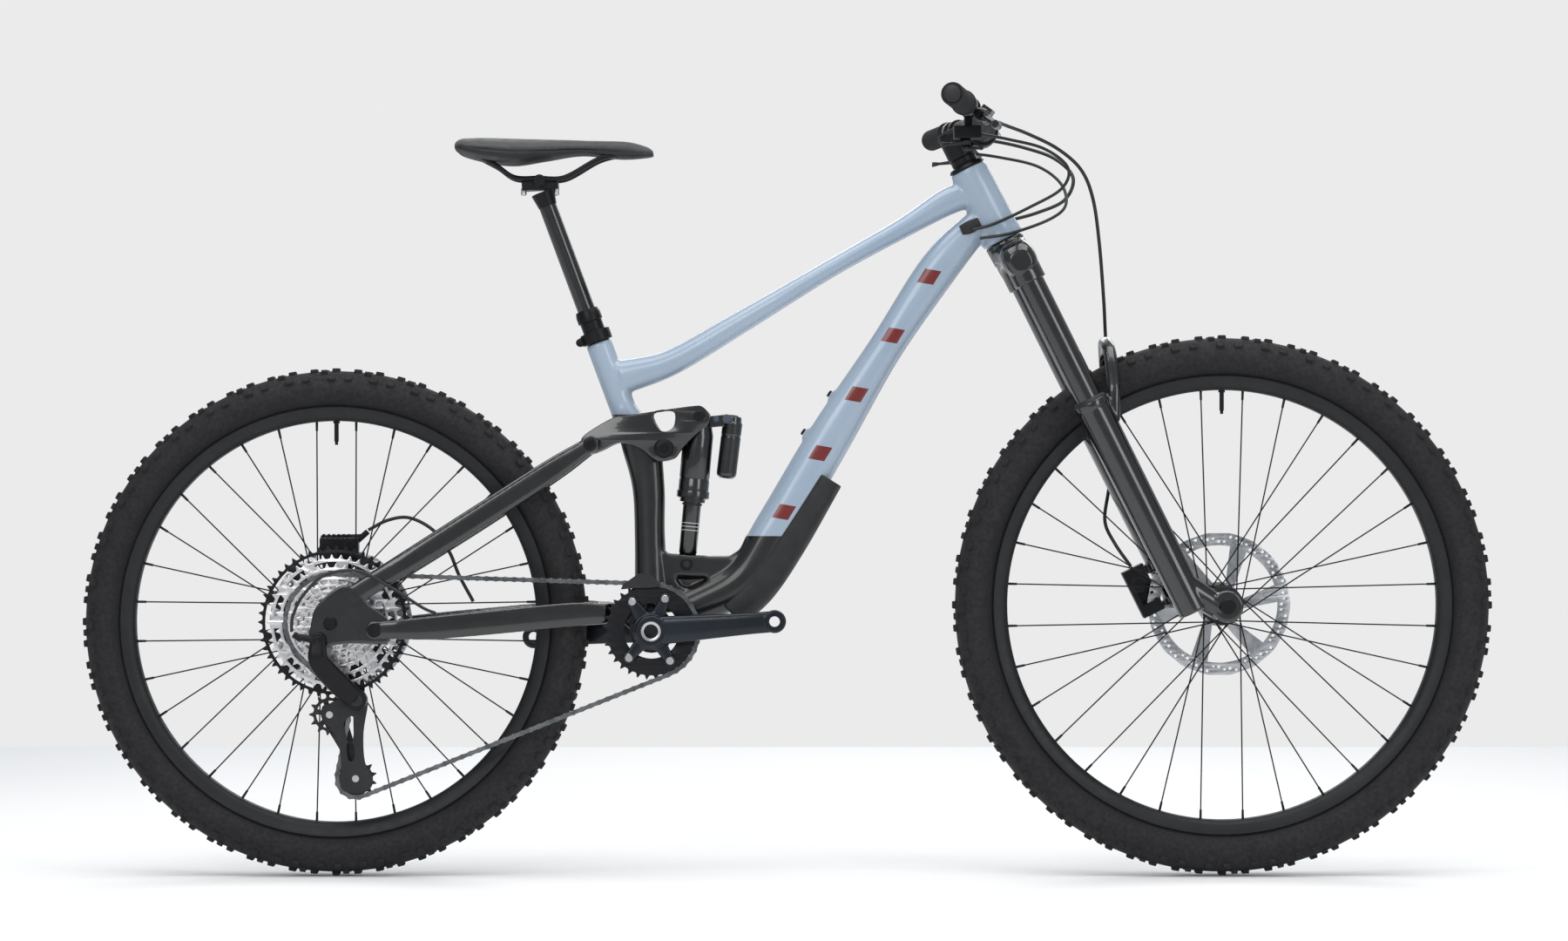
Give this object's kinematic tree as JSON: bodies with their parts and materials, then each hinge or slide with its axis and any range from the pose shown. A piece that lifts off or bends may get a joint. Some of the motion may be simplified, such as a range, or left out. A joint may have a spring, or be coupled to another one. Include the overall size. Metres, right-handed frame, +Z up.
{
  "type": "full-suspension mountain bike",
  "caption": "Full-suspension mountain bike with telescopic fork, air shock with linkage, disc brakes, wide-range cassette drive and height-adjustable saddle.",
  "frame": {"origin": "middle of the wheelbase box on the ground, on the mid-plane", "axes": "+X forward, +Y to the rider's left, +Z up"},
  "size_m": [1.956, 0.78, 1.0665],
  "materials": {
    "frame_paint": "satin blue-grey paint",
    "gloss_black": "gloss black",
    "black_alloy": "black anodised",
    "matte_black": "matte",
    "crank_alloy": "dark blue-grey anodised",
    "bare_steel": "brushed",
    "chain_steel": "plated",
    "rotor_steel": "brushed",
    "tyre_rubber": "matte",
    "grip_rubber": "matte",
    "saddle_cover": "matte",
    "cord_cover": "satin"
  },
  "bodies": {
    "frame": {"front_triangle": "frame_paint", "downtube_guard": "matte_black", "seat_clamp": "black_alloy", "dropper_outer_tube": "black_alloy", "bottom_bracket": "black_alloy", "chain_guide": "matte_black", "main_pivot_axle": "bare_steel", "rocker_pivot_axle": "bare_steel", "chain": "chain_steel", "rear_brake_hose": "cord_cover", "shift_housing": "cord_cover", "dropper_housing": "cord_cover"},
    "steering": {"fork_upper": "gloss_black", "stem": "black_alloy", "stem_faceplate": "black_alloy", "steerer_spacers": "black_alloy", "handlebar": "black_alloy", "grip_right": "grip_rubber", "grip_left": "grip_rubber", "brake_body_right": "black_alloy", "brake_body_left": "black_alloy", "shifter_body": "matte_black", "dropper_remote_body": "black_alloy", "front_brake_hose": "cord_cover"},
    "fork_slider": {"fork_lowers": "gloss_black", "front_caliper": "black_alloy", "front_axle": "black_alloy"},
    "front_wheel": {"front_tyre": "tyre_rubber", "front_rim": "black_alloy", "front_spoked_hub": "black_alloy", "front_rotor": "rotor_steel"},
    "seat": {"saddle": "saddle_cover", "saddle_rails": "black_alloy", "dropper_stanchion": "gloss_black"},
    "chainstay": {"chainstays": "gloss_black"},
    "seatstay": {"seatstays": "gloss_black", "rear_axle": "black_alloy", "rear_caliper": "black_alloy", "derailleur_body": "matte_black", "derailleur_cage": "black_alloy", "rear_brake_hose_rear": "cord_cover", "shift_housing_rear": "cord_cover"},
    "rocker": {"rocker_link": "gloss_black"},
    "damper_rod": {"shock_shaft": "gloss_black"},
    "shock_can": {"shock_body": "gloss_black"},
    "rear_wheel": {"rear_tyre": "tyre_rubber", "rear_rim": "black_alloy", "rear_spoked_hub": "black_alloy", "rear_rotor": "rotor_steel"},
    "crankset": {"crank_right": "crank_alloy", "crank_left": "crank_alloy", "chainring": "black_alloy"},
    "cogs": {"cassette": "bare_steel"},
    "upper_jockey": {"guide_pulley": "matte_black"},
    "lower_jockey": {"tension_pulley": "matte_black"},
    "lever_right": {"brake_lever_right": "black_alloy"},
    "lever_left": {"brake_lever_left": "black_alloy"},
    "paddle_main": {"shift_paddle_main": "matte_black"},
    "paddle_release": {"shift_paddle_release": "matte_black"},
    "dropper_thumb": {"dropper_lever": "black_alloy"}
  },
  "joints": [
    {"name": "steering_turn", "type": "hinge", "parent": "frame", "child": "steering", "pos_m": [0.3, 0, 0.8808], "axis": [-0.446, 0, 0.895], "range_deg": [-50, 50], "deforming": ["rear_brake_hose", "shift_housing", "dropper_housing"]},
    {"name": "fork_travel", "type": "slide", "parent": "steering", "child": "fork_slider", "axis": [-0.446, 0, 0.895], "range_m": [0, 0.17], "stiffness_N_per_m": 6000, "springref_m": -0.02, "deforming": ["front_brake_hose"]},
    {"name": "front_wheel_spin", "type": "hinge", "parent": "fork_slider", "child": "front_wheel", "pos_m": [0.603, 0, 0.375], "axis": [0, 1, 0], "continuous": true},
    {"name": "seat_drop", "type": "slide", "parent": "frame", "child": "seat", "axis": [-0.3486, 0, 0.9373], "range_m": [-0.15, 0], "stiffness_N_per_m": 300, "springref_m": 0.3},
    {"name": "chainstay_swing", "type": "hinge", "parent": "frame", "child": "chainstay", "pos_m": [-0.225, 0, 0.365], "axis": [0, 1, 0], "range_deg": [0, 24], "stiffness_Nm_per_rad": 900, "springref_deg": -5.73, "deforming": ["chain"]},
    {"name": "seatstay_swing", "type": "hinge", "parent": "chainstay", "child": "seatstay", "pos_m": [-0.565, 0, 0.343], "axis": [0, 1, 0], "range_deg": [-15.3, 0], "deforming": ["rear_brake_hose_rear", "shift_housing_rear"]},
    {"name": "rocker_swing", "type": "hinge", "parent": "frame", "child": "rocker", "pos_m": [-0.1707, 0, 0.592], "axis": [0, 1, 0], "range_deg": [0, 62.5]},
    {"name": "shock_tilt", "type": "hinge", "parent": "frame", "child": "damper_rod", "pos_m": [-0.1396, 0, 0.4321], "axis": [0, 1, 0], "range_deg": [0, 10.2]},
    {"name": "shock_stroke", "type": "slide", "parent": "damper_rod", "child": "shock_can", "axis": [-0.0886, 0, -0.9961], "range_m": [0, 0.0655]},
    {"name": "rear_wheel_spin", "type": "hinge", "parent": "seatstay", "child": "rear_wheel", "pos_m": [-0.626, 0, 0.352], "axis": [0, 1, 0], "continuous": true},
    {"name": "crank_spin", "type": "hinge", "parent": "frame", "child": "crankset", "pos_m": [-0.1871, 0, 0.3409], "axis": [0, 1, 0], "continuous": true},
    {"name": "cassette_spin", "type": "hinge", "parent": "seatstay", "child": "cogs", "pos_m": [-0.626, 0, 0.352], "axis": [0, 1, 0], "continuous": true},
    {"name": "guide_pulley_spin", "type": "hinge", "parent": "seatstay", "child": "upper_jockey", "pos_m": [-0.631, 0, 0.225], "axis": [0, 1, 0], "continuous": true},
    {"name": "tension_pulley_spin", "type": "hinge", "parent": "seatstay", "child": "lower_jockey", "pos_m": [-0.595, 0, 0.137], "axis": [0, 1, 0], "continuous": true},
    {"name": "brake_lever_right_pull", "type": "hinge", "parent": "steering", "child": "lever_right", "pos_m": [0.26145, -0.243, 1.03171], "axis": [-0.57, 0.0862, -0.8171], "range_deg": [0, 14], "stiffness_Nm_per_rad": 0.6, "springref_deg": -5.73},
    {"name": "brake_lever_left_pull", "type": "hinge", "parent": "steering", "child": "lever_left", "pos_m": [0.26145, 0.243, 1.03171], "axis": [0.57, 0.0862, 0.8171], "range_deg": [0, 14], "stiffness_Nm_per_rad": 0.6, "springref_deg": -5.73},
    {"name": "shift_main_push", "type": "hinge", "parent": "steering", "child": "paddle_main", "pos_m": [0.23989, -0.18, 1.00321], "axis": [0, 0, 1], "range_deg": [0, 20], "stiffness_Nm_per_rad": 0.2},
    {"name": "shift_release_push", "type": "hinge", "parent": "steering", "child": "paddle_release", "pos_m": [0.24189, -0.18, 0.99421], "axis": [0, 0, 1], "range_deg": [0, 12], "stiffness_Nm_per_rad": 0.2},
    {"name": "dropper_lever_push", "type": "hinge", "parent": "steering", "child": "dropper_thumb", "pos_m": [0.24189, 0.18, 1.00321], "axis": [0, 0, -1], "range_deg": [0, 20], "stiffness_Nm_per_rad": 0.2}
  ],
  "couplings": [
    {"joint": "seatstay_swing", "follows": "chainstay_swing", "ratio": -0.63499},
    {"joint": "rocker_swing", "follows": "chainstay_swing", "ratio": 2.5991},
    {"joint": "shock_tilt", "follows": "chainstay_swing", "ratio": 0.42086},
    {"joint": "shock_stroke", "follows": "chainstay_swing", "m_per_rad": 0.15569},
    {"joint": "cassette_spin", "follows": "crank_spin", "ratio": 0.9697},
    {"joint": "guide_pulley_spin", "follows": "crank_spin", "ratio": -2.4615},
    {"joint": "tension_pulley_spin", "follows": "crank_spin", "ratio": 2.4615}
  ]
}
